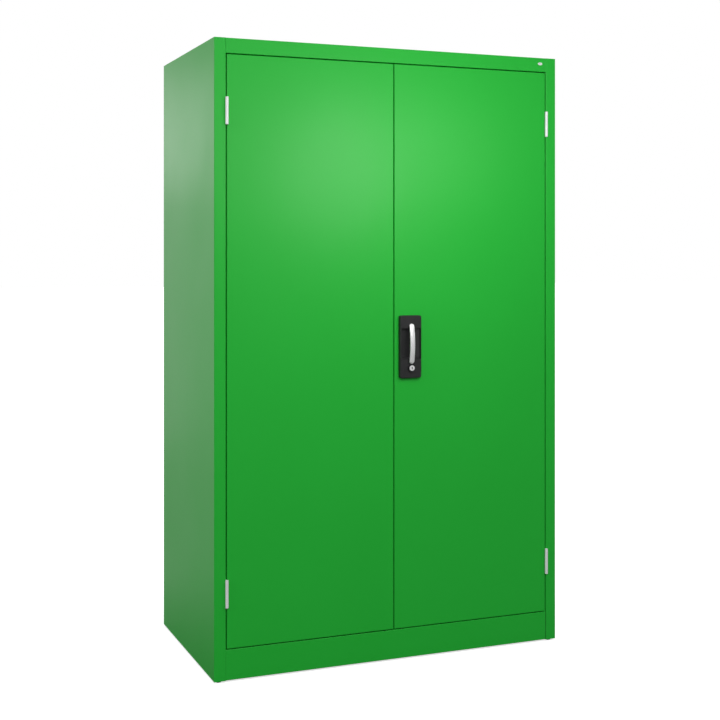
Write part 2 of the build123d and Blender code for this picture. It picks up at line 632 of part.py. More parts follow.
def handle_spindle():
    """Spindle: journal in the handle plate, square in the pinion, tail in the cover."""
    start = PLATE_FRONT - BOW_GAP - SPINDLE_IN_BOW
    square_start = FRONT + SHEET + CASE_BASE
    square_end = FRONT + ROD_NEAR + 2 * ROD_THICKNESS + LAYER_GAP
    spindle = rod_y(PLATE_X, PIVOT_Z, start, square_start, SPINDLE_RADIUS)
    half = SPINDLE_SQUARE / 2
    spindle += block(PLATE_X - half, PLATE_X + half, square_start, square_end,
                     PIVOT_Z - half, PIVOT_Z + half)
    return spindle + rod_y(PLATE_X, PIVOT_Z, square_end, CASE_BACK + COVER_SHEET,
                           SPINDLE_TAIL_RADIUS)


# ---------------------------------------------------------------- rack and pinion
def pinion():
    """Involute pinion; a tooth points along +X at rest."""
    base = PITCH_RADIUS * cos(PRESSURE_ANGLE)
    tip = PITCH_RADIUS + PINION_ADDENDUM * MODULE
    root = PITCH_RADIUS - PINION_DEDENDUM * MODULE
    pitch_half = pi / (2 * PINION_TEETH) - BACKLASH / (4 * PITCH_RADIUS)

    def half_angle(radius):
        """Half of the tooth's angle at a radius, straight below the base circle."""
        slope = acos(min(1.0, base / radius))
        return pitch_half + tan(PRESSURE_ANGLE) - PRESSURE_ANGLE - (tan(slope) - slope)

    radii = [root, base, PITCH_RADIUS, (PITCH_RADIUS + tip) / 2, tip]
    points = []
    for tooth in range(PINION_TEETH):
        middle = 2 * pi * tooth / PINION_TEETH
        flank = [(radius, middle - half_angle(radius)) for radius in radii]
        flank += [(radius, middle + half_angle(radius)) for radius in reversed(radii)]
        points += [(radius * cos(angle), radius * sin(angle)) for radius, angle in flank]
    near = FRONT + ROD_NEAR - CASE_CLEARANCE
    far = FRONT + BOLT_LAYER + ROD_THICKNESS
    face = Plane(origin=(PLATE_X, far, PIVOT_Z), x_dir=(1, 0, 0), z_dir=(0, -1, 0))
    gear = extrude(face * make_face(Polyline(*points, close=True)), amount=far - near)
    half = SPINDLE_SQUARE / 2
    return gear - block(PLATE_X - half, PLATE_X + half, near, far, PIVOT_Z - half, PIVOT_Z + half)


def rack_ends(first):
    """Both ends of a rack's body along its travel, from its first tooth's middle."""
    return first - RACK_END * MODULE, first + (RACK_TEETH - 1) * PITCH + RACK_END * MODULE


def rack_outline(first):
    """Rack along the first coordinate, its back away from the pinion's axis."""
    tip = PITCH_RADIUS - RACK_ADDENDUM * MODULE
    root = PITCH_RADIUS + RACK_DEDENDUM * MODULE
    half = PITCH / 4 - BACKLASH / 4
    tip_half = half - RACK_ADDENDUM * MODULE * tan(PRESSURE_ANGLE)
    root_half = half + RACK_DEDENDUM * MODULE * tan(PRESSURE_ANGLE)
    start, end = rack_ends(first)
    outline = [(start, ROD_OUTER), (start, root)]
    for tooth in range(RACK_TEETH):
        middle = first + tooth * PITCH
        outline += [(middle - root_half, root), (middle - tip_half, tip),
                    (middle + tip_half, tip), (middle + root_half, root)]
    outline += [(end, root), (end, ROD_OUTER)]
    return make_face(Polyline(*outline, close=True))


UPPER_RACK_FIRST = -4.5 * PITCH     # each rack's first tooth from the pinion's axis
LOWER_RACK_FIRST = -PITCH
BOLT_RACK_FIRST = -0.75 * PITCH


def upper_rack():
    """Rack on the pinion's right side."""
    face = Plane(origin=(PLATE_X, FRONT + ROD_NEAR, PIVOT_Z), x_dir=(0, 0, 1), z_dir=(0, 1, 0))
    return extrude(face * rack_outline(UPPER_RACK_FIRST), amount=ROD_THICKNESS)


def lower_rack():
    """Rack on the pinion's left side."""
    far = FRONT + ROD_NEAR + ROD_THICKNESS
    face = Plane(origin=(PLATE_X, far, PIVOT_Z), x_dir=(0, 0, 1), z_dir=(0, -1, 0))
    return extrude(face * rack_outline(LOWER_RACK_FIRST), amount=ROD_THICKNESS)


def upper_rod():
    """Bar from the upper rack to the door's upper edge."""
    near, start = FRONT + ROD_NEAR, PIVOT_Z + rack_ends(UPPER_RACK_FIRST)[1]
    return block(PLATE_X + ROD_INNER, PLATE_X + ROD_OUTER, near, near + ROD_THICKNESS,
                 start, DOOR_TOP - ROD_END_GAP)


def lower_rod():
    """Bar from the lower rack to the door's lower edge."""
    near, start = FRONT + ROD_NEAR, PIVOT_Z + rack_ends(LOWER_RACK_FIRST)[0]
    return block(PLATE_X - ROD_OUTER, PLATE_X - ROD_INNER, near, near + ROD_THICKNESS,
                 DOOR_BOTTOM + ROD_END_GAP, start)


def catch_lugs():
    """Three lugs on the lower rod; the lock's cam turns in between two of them."""
    near = FRONT + ROD_NEAR
    edge = CAM_REACH - CAM_BITE
    high = CAM_WIDTH / 2 + NOTCH_CLEARANCE
    low = -(CAM_REACH ** 2 - edge ** 2) ** 0.5 - NOTCH_CLEARANCE
    spans = [(low - LUG_HEIGHT, low), (high, ROD_TRAVEL + low),
             (ROD_TRAVEL + high, ROD_TRAVEL + high + LUG_HEIGHT)]
    return group([
        block(PLATE_X - ROD_INNER, PLATE_X - edge, near, near + ROD_THICKNESS,
              LOCK_Z + z0, LOCK_Z + z1) for z0, z1 in spans
    ])


def centre_bolt():
    """Rack on the pinion's upper side with the bolt through the meeting edge."""
    far = FRONT + BOLT_LAYER + ROD_THICKNESS
    face = Plane(origin=(PLATE_X, far, PIVOT_Z), x_dir=(1, 0, 0), z_dir=(0, -1, 0))
    rack = extrude(face * rack_outline(BOLT_RACK_FIRST), amount=ROD_THICKNESS)
    return rack + block(DOOR_MEET + ROD_END_GAP, PLATE_X + rack_ends(BOLT_RACK_FIRST)[0],
                        FRONT + BOLT_LAYER, far, PIVOT_Z + BOLT_INNER, PIVOT_Z + ROD_OUTER)


def gearbox_housing():
    """Open case behind the door face, with ways out for the rods and the bolt."""
    base = FRONT + SHEET
    floor = base + CASE_BASE
    case = block(PLATE_X - CASE_EAR, PLATE_X + CASE_EAR, base, floor,
                 PIVOT_Z + CASE_SCREW_UP - CASE_EAR_HEIGHT / 2,
                 PIVOT_Z + CASE_SCREW_UP + CASE_EAR_HEIGHT / 2)
    case += block(PLATE_X - CASE_SIDE, PLATE_X + CASE_SIDE, base, CASE_BACK,
                  PIVOT_Z - CASE_SIDE, PIVOT_Z + CASE_SIDE)
    case -= block(PLATE_X - CASE_CAVITY, PLATE_X + CASE_CAVITY, floor, CASE_BACK,
                  PIVOT_Z - CASE_CAVITY, PIVOT_Z + CASE_CAVITY)
    inner, outer = ROD_INNER - CASE_CLEARANCE, CASE_CAVITY
    far = FRONT + ROD_NEAR + ROD_THICKNESS + CASE_CLEARANCE
    case -= block(PLATE_X + inner, PLATE_X + outer, floor, far, PIVOT_Z, PIVOT_Z + CASE_SIDE)
    case -= block(PLATE_X - outer, PLATE_X - inner, floor, far, PIVOT_Z - CASE_SIDE, PIVOT_Z)
    bolt = FRONT + BOLT_LAYER
    case -= block(PLATE_X - CASE_SIDE, PLATE_X, bolt - CASE_CLEARANCE,
                  bolt + ROD_THICKNESS + CASE_CLEARANCE,
                  PIVOT_Z + BOLT_INNER - CASE_CLEARANCE, PIVOT_Z + outer)
    case -= rod_y(PLATE_X, PIVOT_Z, base, floor, SPINDLE_RADIUS + RUNNING_FIT)
    return case - [rod_y(x, z, base, floor, SCREW_RADIUS)
                   for x, z in plate_screws()]


def gearbox_cover():
    """Plate that closes the case and carries the spindle's tail."""
    far = CASE_BACK + COVER_SHEET
    cover = block(PLATE_X - CASE_SIDE, PLATE_X + CASE_SIDE, CASE_BACK, far,
                  PIVOT_Z - CASE_SIDE, PIVOT_Z + CASE_SIDE)
    return cover - rod_y(PLATE_X, PIVOT_Z, CASE_BACK, far, SPINDLE_TAIL_RADIUS + RUNNING_FIT)


def housing_screws():
    """Hexagon-head screws from inside the door into the handle plate."""
    screws = []
    seat = FRONT + SHEET + CASE_BASE
    for x, z in plate_screws():
        screw = rod_y(x, z, FRONT - SCREW_BITE, seat, SCREW_RADIUS)
        face = Plane(origin=(x, seat, z), x_dir=(1, 0, 0), z_dir=(0, 1, 0))
        head = extrude(face * RegularPolygon(SCREW_HEAD_FLATS / 2, 6, major_radius=False),
                       amount=SCREW_HEAD)
        screws.append(screw + head)
    return group(screws)


def guide(x, z, half, far):
    """Strap over a rod or bolt, with a foot on each side."""
    face = FRONT + SHEET
    inner = half + GUIDE_CLEARANCE
    outer = inner + GUIDE_SHEET
    z0, z1 = z - GUIDE_LENGTH / 2, z + GUIDE_LENGTH / 2
    bridge = far + GUIDE_CLEARANCE
    strap = block(x - outer, x + outer, face, bridge + GUIDE_SHEET, z0, z1)
    strap += block(x - outer - GUIDE_FOOT, x + outer + GUIDE_FOOT, face, face + GUIDE_SHEET, z0, z1)
    return strap - block(x - inner, x + inner, face, bridge, z0, z1)


def rod_guides():
    """Two straps for each locking rod."""
    half = (ROD_OUTER - ROD_INNER) / 2
    middle = ROD_INNER + half
    far = FRONT + ROD_NEAR + ROD_THICKNESS
    places = [
        (PLATE_X + middle, PIVOT_Z + GUIDE_FROM_CASE),
        (PLATE_X + middle, DOOR_TOP - GUIDE_FROM_EDGE),
        (PLATE_X - middle, LOCK_Z - GUIDE_FROM_CASE),
        (PLATE_X - middle, DOOR_BOTTOM + GUIDE_FROM_EDGE),
    ]
    return group([guide(x, z, half, far) for x, z in places])


# ---------------------------------------------------------------- left door's bolts
def slide_bolt(end, away):
    """Flat bolt with a knob; `away` points from its end (1 up, -1 down) into the door."""
    near = FRONT + BOLT_NEAR
    far = near + BOLT_THICKNESS
    tail = end + away * BOLT_LENGTH
    low, high = min(end, tail), max(end, tail)
    bolt = block(BOLT_X - BOLT_WIDTH / 2, BOLT_X + BOLT_WIDTH / 2, near, far, low, high)
    return bolt + rod_y(BOLT_X, tail - away * KNOB_FROM_END, far, far + KNOB_LENGTH, KNOB_RADIUS)


def left_bolt_guides():
    """Two straps for each slide bolt."""
    far = FRONT + BOLT_NEAR + BOLT_THICKNESS
    first = GUIDE_FROM_EDGE / 2
    heights = [DOOR_TOP - first, DOOR_TOP - first - BOLT_GUIDE_SPACING,
               DOOR_BOTTOM + first, DOOR_BOTTOM + first + BOLT_GUIDE_SPACING]
    return group([guide(BOLT_X, z, BOLT_WIDTH / 2, far) for z in heights])


# ---------------------------------------------------------------- key lock
def lock_barrel():
    """Barrel with a rim on the collar of the handle plate."""
    end = FRONT + LOCK_BODY_BEHIND
    barrel = rod_y(PLATE_X, LOCK_Z, LOCK_FACE, end, LOCK_BODY_RADIUS)
    barrel += rod_y(PLATE_X, LOCK_Z, LOCK_FACE - LOCK_RIM, LOCK_FACE, LOCK_RIM_RADIUS)
    return barrel - rod_y(PLATE_X, LOCK_Z, LOCK_FACE - LOCK_RIM, end, PLUG_RADIUS + RUNNING_FIT)


def lock_nut():
    """Flat nut that clamps the barrel to the door."""
    near = FRONT + SHEET
    face = Plane(origin=(PLATE_X, near, LOCK_Z), x_dir=(1, 0, 0), z_dir=(0, 1, 0))
    nut = extrude(face * RegularPolygon(LOCK_NUT / 2, 6, major_radius=False),
                  amount=LOCK_NUT_THICKNESS)
    return nut - rod_y(PLATE_X, LOCK_Z, near, near + LOCK_NUT_THICKNESS, LOCK_BODY_RADIUS)


def lock_plug():
    """Turning plug with its keyway and a square tail."""
    start = LOCK_FACE - LOCK_RIM
    plug = rod_y(PLATE_X, LOCK_Z, start, FRONT + CAM_NEAR, PLUG_RADIUS)
    half = PLUG_TAIL / 2
    plug += block(PLATE_X - half, PLATE_X + half, FRONT + CAM_NEAR,
                  FRONT + CAM_NEAR + CAM_THICKNESS, LOCK_Z - half, LOCK_Z + half)
    return plug - block(PLATE_X - KEYWAY_WIDTH / 2, PLATE_X + KEYWAY_WIDTH / 2, start,
                        start + KEYWAY_DEPTH, LOCK_Z - KEYWAY_HEIGHT / 2,
                        LOCK_Z + KEYWAY_HEIGHT / 2)


def lock_cam():
    """Cam that hangs down at rest and turns into a notch of the lower rod."""
    near = FRONT + CAM_NEAR
    far = near + CAM_THICKNESS
    half = PLUG_TAIL / 2
    cam = rod_y(PLATE_X, LOCK_Z, near, far, CAM_HUB_RADIUS)
    cam += block(PLATE_X - CAM_WIDTH / 2, PLATE_X + CAM_WIDTH / 2, near, far,
                 LOCK_Z - CAM_REACH, LOCK_Z)
    cam &= rod_y(PLATE_X, LOCK_Z, near, far, CAM_REACH)
    return cam - block(PLATE_X - half, PLATE_X + half, near, far, LOCK_Z - half, LOCK_Z + half)


# ---------------------------------------------------------------- assembly
def cabinet():
    """Every node by name."""
    side = side_panel()
    stiffener = door_stiffener()
    nodes = {
        "side_panel_left": side,
        "side_panel_right": mirrored(side),
        "top_panel": top_panel(),
        "header_rail": header_rail(),
        "header_stop": header_stop(),
        "plinth_panel": plinth_panel(),
        "floor_tray": floor_tray(),
        "back_panel": back_panel(),
        "base_rail_rear": base_rail_rear(),
        "foot_brackets": foot_brackets(),
        "shelf_clips": shelf_clips(),
        "left_door_panel": left_door_panel(),
        "left_door_stiffener": stiffener,
        "right_door_panel": right_door_panel(),
        "right_door_stiffener": mirrored(stiffener),
        "door_buffers": door_buffers(),
        "hinge_pins": hinge_pins(),
        "handle_housing": handle_housing(),
        "handle_bow": handle_bow(),
        "handle_spindle": handle_spindle(),
        "pinion": pinion(),
        "gearbox_housing": gearbox_housing(),
        "gearbox_cover": gearbox_cover(),
        "housing_screws": housing_screws(),
        "upper_rack": upper_rack(),
        "upper_rod": upper_rod(),
        "lower_rack": lower_rack(),
        "lower_rod": lower_rod(),
        "catch_lugs": catch_lugs(),
        "centre_bolt": centre_bolt(),
        "rod_guides": rod_guides(),
        "left_top_bolt": slide_bolt(DOOR_TOP - ROD_END_GAP, -1),
        "left_bottom_bolt": slide_bolt(DOOR_BOTTOM + ROD_END_GAP, 1),
        "left_bolt_guides": left_bolt_guides(),
        "lock_barrel": lock_barrel(),
        "lock_nut": lock_nut(),
        "lock_plug": lock_plug(),
        "lock_cam": lock_cam(),
    }
    for place, (x, y) in foot_places().items():
        nodes[f"levelling_foot_{place}"] = levelling_foot(x, y)
    for row, y in RAIL_ROWS.items():
        rail = shelf_rail(y)
        nodes[f"shelf_rail_{row}_left"] = rail
        nodes[f"shelf_rail_{row}_right"] = mirrored(rail)
    for number, bottom in enumerate(SHELF_BOTTOMS, 1):
        nodes[f"shelf_{number}"] = shelf(bottom)
    for height, z in HINGE_HEIGHTS.items():
        for name, make in (("hinge_frame_leaf", hinge_frame_leaf),
                           ("hinge_door_leaf", hinge_door_leaf)):
            piece = make(z)
            nodes[f"{name}_{height}_left"] = piece
            nodes[f"{name}_{height}_right"] = mirrored(piece)
    return nodes


os.makedirs("parts", exist_ok=True)
for name, piece in cabinet().items():
    export_step(piece, f"parts/{name}.step")
print(f"quarter turn moves the rods {ROD_TRAVEL:.3f} mm, {PITCH_RADIUS / 1000:.6f} m per radian")
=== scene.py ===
import json
from math import cos, pi, radians, sin, sqrt

import bmesh
import bpy
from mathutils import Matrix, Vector


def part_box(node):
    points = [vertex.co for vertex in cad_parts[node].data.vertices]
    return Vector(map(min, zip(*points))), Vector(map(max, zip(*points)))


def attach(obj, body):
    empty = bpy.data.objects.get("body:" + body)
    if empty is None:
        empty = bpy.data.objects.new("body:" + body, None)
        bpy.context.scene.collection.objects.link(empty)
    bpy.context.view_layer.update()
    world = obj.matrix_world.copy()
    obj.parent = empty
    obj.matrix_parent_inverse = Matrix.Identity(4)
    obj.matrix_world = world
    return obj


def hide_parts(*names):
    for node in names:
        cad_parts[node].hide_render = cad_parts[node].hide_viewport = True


# Sheet-steel tool cabinet with two hinged doors and a turning handle.
# Metres, in the cabinet's own frame: +X right, +Y to the back, +Z up.

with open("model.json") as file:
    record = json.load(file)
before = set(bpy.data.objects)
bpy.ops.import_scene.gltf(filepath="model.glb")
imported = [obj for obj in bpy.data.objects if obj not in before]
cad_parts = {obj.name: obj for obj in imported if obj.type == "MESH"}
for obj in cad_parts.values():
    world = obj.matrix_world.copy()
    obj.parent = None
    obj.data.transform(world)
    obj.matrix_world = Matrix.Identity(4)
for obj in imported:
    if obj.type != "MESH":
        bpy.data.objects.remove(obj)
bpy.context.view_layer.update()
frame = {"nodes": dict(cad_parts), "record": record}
nodes = frame["nodes"]

# ---------------------------------------------------------------- sizes
CABINET_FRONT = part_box("side_panel_left")[0].y
FOOTPRINT_LOW, FOOTPRINT_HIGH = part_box("floor_tray")[0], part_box("back_panel")[1]
PLINTH_LOW, PLINTH_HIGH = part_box("plinth_panel")
PLUG_LOW, PLUG_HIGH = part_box("lock_plug")
BOW_LOW, BOW_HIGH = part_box("handle_bow")

SHEET = 0.001                 # doors and stiffeners
REAR_FLANGE_WIDTH = 0.018

# bow of the handle
BOW_END_THICKNESS = 0.0065
BOW_MIDDLE_THICKNESS = 0.008
BOW_REACH = 0.9995            # share of its half length where the last section lies
BOW_END_TAPER = 0.3           # share of its thickness that the very ends lose
BOW_SQUARENESS = 0.55         # power of the section: 1 is an ellipse, 0 a rectangle
BOW_RINGS = 56
BOW_SIDES = 32

# button-head screws
SCREW_HEAD_RADIUS = 0.0027
SCREW_HEAD_HEIGHT = 0.0017
SCREW_RIM = 0.3               # share of the height that stands upright
SCREW_DOME_DEGREES = (15, 30, 45)
SCREW_SOCKET_RADIUS = 0.0012
SCREW_SOCKET_DEPTH = 0.001
SCREW_SOCKET_MOUTH = ((1.15, 0.99), (1.0, 0.95))    # shares of socket radius and of height
SCREW_SIDES = 24
COVER_SCREW_INSET = 0.005

# straps that guide the rods and bolts
GUIDE_SHEET = 0.0015
GUIDE_CLEARANCE = 0.0003
GUIDE_FOOT = 0.009
ROD_HALF_WIDTH = 0.0032
ROD_GUIDE_HEIGHTS = (("upper_rod", (1.247, 1.8463)), ("lower_rod", (0.7556, 0.1622)))
BOLT_HALF_WIDTH = 0.006
BOLT_GUIDE_HEIGHTS = (("left_top_bolt", (1.8763, 1.8063)),
                      ("left_bottom_bolt", (0.1322, 0.2022)))

# spot welds
WELD_SPOT_RADIUS = 0.0032
WELD_SPOT_DEPTH = 0.00035
WELD_SPOT_PITCH = 0.115
WELD_SPOT_SIDES = 18
WELD_SPOT_PROFILE = ((1.0, 0.0), (0.92, 1.0), (0.74, 1.0), (0.6, 0.25), (0.3, 0.1))
WELD_END_GAP = 0.02
STIFFENER_FOOT_MIDDLE = 0.006

# threads of the feet
STEM_RADIUS = 0.005
THREAD_PITCH = 0.0015
THREAD_HEIGHT = 0.0004
THREAD_ROOT = 0.0002
THREAD_ROOT_RISE = THREAD_PITCH / 3
THREAD_CREST_RISE = THREAD_PITCH / 12
THREAD_RUNOUT = 0.05          # share of the height that is left at both ends
THREAD_STEPS = 20

# dark plate over the keyway: painted shade of the keyway's depth
KEYWAY_SHADE_HALF_WIDTH = 0.0014
KEYWAY_SHADE_HALF_HEIGHT = 0.0042
KEYWAY_SHADE_THICKNESS = 0.0002
KEYWAY_SHADE_SIDES = 32
KEYWAY_SHADE_PROFILE = ((1.0, 0.0), (1.0, 0.7), (0.85, 1.0), (0.45, 1.0), (0.3, 0.3))

# badge of the header
BADGE_PLACE = (0.5403, 1.936)
BADGE_HALF_WIDTH = 0.0085
BADGE_HALF_HEIGHT = 0.005
BADGE_THICKNESS = 0.0012
BADGE_SIDES = 56
BADGE_PROFILE = ((1.0, 0.0), (1.0, 0.62), (0.965, 0.88), (0.9, 1.0), (0.84, 0.94), (0.79, 0.7),
                 (0.74, 0.64), (0.5, 0.76), (0.25, 0.83))

# ---------------------------------------------------------------- camera
LENS_LENGTH = 59.05           # in millimetres, as the film's width
FILM_WIDTH = 36.0
LENS_SHIFT_ACROSS = 0.11995
LENS_SHIFT_UP = -0.1487
CAMERA_LEFT = 1.651           # from the cabinet's middle
CAMERA_AHEAD = 3.412          # from its front
CAMERA_HEIGHT = 1.303
CAMERA_TURN = 20              # degrees to the right of straight ahead


def place_camera():
    """Standing left of the doors, level, with the framing shifted."""
    lens = bpy.data.cameras.new("view_camera")
    lens.lens = LENS_LENGTH
    lens.sensor_width = FILM_WIDTH
    lens.shift_x = LENS_SHIFT_ACROSS
    lens.shift_y = LENS_SHIFT_UP
    camera = bpy.data.objects.new("view_camera", lens)
    bpy.context.scene.collection.objects.link(camera)
    camera.location = (-CAMERA_LEFT, CABINET_FRONT - CAMERA_AHEAD, CAMERA_HEIGHT)
    camera.rotation_euler = (radians(90), 0, radians(-CAMERA_TURN))
    bpy.context.scene.camera = camera


# ---------------------------------------------------------------- node helpers
SOCKET_KINDS = {"float": "NodeSocketFloat", "colour": "NodeSocketColor"}
MIX_FIRST, MIX_SECOND, MIX_RESULT = 6, 7, 2         # colour sockets of a Mix node
NOISE_MIDDLE = (0.35, 0.65)   # most of a noise's values lie in here
NOISE_WIDE = (0.3, 0.7)


def rgb(red, green, blue):
    return (red, green, blue, 1.0)


def new_group(name, inputs, outputs):
    """Empty shader group with float or colour sockets."""
    tree = bpy.data.node_groups.new(name, "ShaderNodeTree")
    for label, kind, value in inputs:
        socket = tree.interface.new_socket(name=label, in_out="INPUT",
                                           socket_type=SOCKET_KINDS[kind])
        socket.default_value = value
    for label, kind in outputs:
        tree.interface.new_socket(name=label, in_out="OUTPUT", socket_type=SOCKET_KINDS[kind])
    return tree, tree.nodes.new("NodeGroupInput"), tree.nodes.new("NodeGroupOutput")


def use_group(tree, group, **values):
    """A group's node, with its inputs set by their names."""
    node = tree.nodes.new("ShaderNodeGroup")
    node.node_tree = group
    for key, value in values.items():
        node.inputs[key.replace("_", " ")].default_value = value
    return node


def add_node(tree, kind, links=None, **settings):
    """One node with its settings, and its inputs linked or set by name or number."""
    node = tree.nodes.new(kind)
    for key, value in settings.items():
        setattr(node, key, value)
    for key, value in (links or {}).items():
        if isinstance(value, bpy.types.NodeSocket):
            tree.links.new(value, node.inputs[key])
        else:
            node.inputs[key].default_value = value
    return node


def own_place(tree):
    """Point of the surface, in the cabinet's own metres."""
    return add_node(tree, "ShaderNodeTexCoord").outputs["Object"]


def split(tree, vector):
    """X, Y and Z of a vector, as sockets."""
    return add_node(tree, "ShaderNodeSeparateXYZ", {0: vector}).outputs


def noise(tree, scale, detail=4.0, roughness=0.5, vector=None):
    """Noise in the cabinet's own metres."""
    return add_node(tree, "ShaderNodeTexNoise", {
        "Vector": vector or own_place(tree), "Scale": scale, "Detail": detail,
        "Roughness": roughness,
    }).outputs["Fac"]


def remap(tree, value, low, high, new_low, new_high):
    """Value between low and high drawn out to the new range, clamped."""
    return add_node(tree, "ShaderNodeMapRange", {
        "Value": value, "From Min": low, "From Max": high, "To Min": new_low, "To Max": new_high,
    }).outputs["Result"]


def combine(tree, how, first, second=0.0):
    """Result of one step of arithmetic, as a socket."""
    return add_node(tree, "ShaderNodeMath", {0: first, 1: second}, operation=how).outputs[0]


def distance_from(tree, value, middle):
    """How far a value lies from a fixed one, to either side."""
    return combine(tree, "ABSOLUTE", combine(tree, "SUBTRACT", value, middle))


def blend_values(tree, share, first, second):
    """Value between two, as a socket."""
    rest = combine(tree, "SUBTRACT", 1.0, share)
    return combine(tree, "ADD", combine(tree, "MULTIPLY", share, second),
                   combine(tree, "MULTIPLY", rest, first))


def blend_colours(tree, share, first, second):
    """Colour between two, as a socket."""
    return add_node(tree, "ShaderNodeMix", {
        "Factor": share, MIX_FIRST: first, MIX_SECOND: second,
    }, data_type="RGBA").outputs[MIX_RESULT]


def bump(tree, shader, height, distance, strength=1.0):
    """Height in relief on the shader's normal."""
    node = add_node(tree, "ShaderNodeBump", {"Height": height, "Distance": distance,
                                             "Strength": strength})
    tree.links.new(node.outputs["Normal"], shader.inputs["Normal"])


# ---------------------------------------------------------------- shared effects
SPECK_FINENESS = 5.0          # specks to a ripple
SPECK_SHARE = 0.2
GLOSS_PATCHES = 3.5           # to a metre
EDGE_FACING = (0.985, 0.8)    # how far a rounded normal turns from the plain one
CHIP_SCALE = 90.0
CHIP_RANGE = (0.4, 0.62)


def orange_peel_group():
    """Fine rippled skin of powder coat: height, and a roughness that drifts a little."""
    tree, given, out = new_group("orange_peel", [
        ("Ripple Size", "float", 0.004), ("Roughness Low", "float", 0.3),
        ("Roughness High", "float", 0.4),
    ], [("Height", "float"), ("Roughness", "float")])
    scale = combine(tree, "DIVIDE", 1.0, given.outputs["Ripple Size"])
    ripple = noise(tree, scale, detail=2.0)
    speck = noise(tree, combine(tree, "MULTIPLY", scale, SPECK_FINENESS), detail=1.0)
    height = combine(tree, "ADD", ripple, combine(tree, "MULTIPLY", speck, SPECK_SHARE))
    rough = remap(tree, noise(tree, GLOSS_PATCHES, detail=3.0), *NOISE_WIDE,
                  given.outputs["Roughness Low"], given.outputs["Roughness High"])
    tree.links.new(height, out.inputs["Height"])
    tree.links.new(rough, out.inputs["Roughness"])
    return tree


def colour_drift_group():
    """Base colour that wanders between two near shades, and lightens at edges: partly worn paint,
    partly a painted edge highlight.
    """
    tree, given, out = new_group("colour_drift", [
        ("Colour", "colour", rgb(0.5, 0.5, 0.5)), ("Other Colour", "colour", rgb(0.5, 0.5, 0.5)),
        ("Patch Size", "float", 0.2), ("Edge Colour", "colour", rgb(0.7, 0.7, 0.7)),
        ("Edge Reach", "float", 0.001), ("Edge Amount", "float", 0.2),
    ], [("Colour", "colour")])
    patches = noise(tree, combine(tree, "DIVIDE", 1.0, given.outputs["Patch Size"]), detail=3.0)
    shade = blend_colours(tree, remap(tree, patches, *NOISE_MIDDLE, 0.0, 1.0),
                          given.outputs["Colour"], given.outputs["Other Colour"])
    rounded = add_node(tree, "ShaderNodeBevel", {"Radius": given.outputs["Edge Reach"]}, samples=4)
    plain = add_node(tree, "ShaderNodeNewGeometry")
    facing = add_node(tree, "ShaderNodeVectorMath", {
        0: rounded.outputs["Normal"], 1: plain.outputs["Normal"],
    }, operation="DOT_PRODUCT").outputs["Value"]
    edge = remap(tree, facing, *EDGE_FACING, 0.0, 1.0)
    broken = remap(tree, noise(tree, CHIP_SCALE, detail=5.0), *CHIP_RANGE, 0.0, 1.0)
    mask = combine(tree, "MULTIPLY", combine(tree, "MULTIPLY", edge, broken),
                   given.outputs["Edge Amount"])
    # edges lighten: worn paint and a painted edge highlight
    worn_and_sheen = blend_colours(tree, mask, shade, given.outputs["Edge Colour"])
    tree.links.new(worn_and_sheen, out.inputs["Colour"])
    return tree


def drawn_lines_group():
    """Fine drawn lines along Z, for roughness and height."""
    tree, given, out = new_group("drawn_lines", [
        ("Line Width", "float", 0.0004), ("Stretch", "float", 40.0),
        ("Roughness Low", "float", 0.2), ("Roughness High", "float", 0.35),
    ], [("Height", "float"), ("Roughness", "float")])
    squeeze = add_node(tree, "ShaderNodeCombineXYZ", {
        0: 1.0, 1: 1.0, 2: combine(tree, "DIVIDE", 1.0, given.outputs["Stretch"]),
    })
    stretched = add_node(tree, "ShaderNodeVectorMath", {
        0: own_place(tree), 1: squeeze.outputs[0],
    }, operation="MULTIPLY").outputs[0]
    scale = combine(tree, "DIVIDE", 1.0, given.outputs["Line Width"])
    lines = noise(tree, scale, detail=2.0, vector=stretched)
    rough = remap(tree, lines, *NOISE_MIDDLE,
                  given.outputs["Roughness Low"], given.outputs["Roughness High"])
    tree.links.new(lines, out.inputs["Height"])
    tree.links.new(rough, out.inputs["Roughness"])
    return tree


def zinc_spangle_group():
    """Crystals of hot-dip zinc: a value for each crystal, and its seams."""
    tree, given, out = new_group("zinc_spangle", [("Crystal Size", "float", 0.008)],
                                 [("Shade", "float"), ("Seam", "float")])
    scale = combine(tree, "DIVIDE", 1.0, given.outputs["Crystal Size"])
    cells = add_node(tree, "ShaderNodeTexVoronoi", {"Vector": own_place(tree), "Scale": scale})
    shade = add_node(tree, "ShaderNodeSeparateColor", {"Color": cells.outputs["Color"]})
    tree.links.new(shade.outputs[0], out.inputs["Shade"])
    tree.links.new(cells.outputs["Distance"], out.inputs["Seam"])
    return tree


# ---------------------------------------------------------------- finishes
GREEN = rgb(0.012, 0.395, 0.030)
GREEN_OTHER = rgb(0.0125, 0.402, 0.0315)
# lighter edge colour: worn paint and a painted edge highlight
GREEN_EDGE = rgb(0.045, 0.50, 0.075)
COAT_SPECULAR = 0.28
COAT_ROUGHNESS = 0.38
COAT_ROUGHNESS_DRIFT = 0.015

# painted shade: a dark line standing in for the shadow in the gap between the plinth and the right
# upright
JOINT_SHADE = rgb(0.004, 0.09, 0.008)
JOINT_REACH = 0.0009
JOINT_CORE = 0.6              # share of the reach that is fully in painted shade

ZINC = rgb(0.55, 0.57, 0.58)
ZINC_OTHER = rgb(0.66, 0.68, 0.69)
ZINC_ROUGHNESS = (0.38, 0.5)

# lighter edge colour: worn plate and a painted edge highlight
STEEL_EDGE = rgb(0.86, 0.86, 0.87)

# slot: name, colour, other colour, least and most roughness, metallic
PLATED_STEELS = {
    "hinge_steel": ("hinge_plate", rgb(0.76, 0.77, 0.78), rgb(0.74, 0.75, 0.76),
                    0.46, 0.54, 0.12),
    "chrome": ("satin_chrome", rgb(0.90, 0.90, 0.91), rgb(0.87, 0.87, 0.88), 0.42, 0.48, 0.6),
    "lock_steel": ("lock_steel", rgb(0.68, 0.68, 0.67), rgb(0.58, 0.58, 0.57), 0.34, 0.46, 0.85),
}
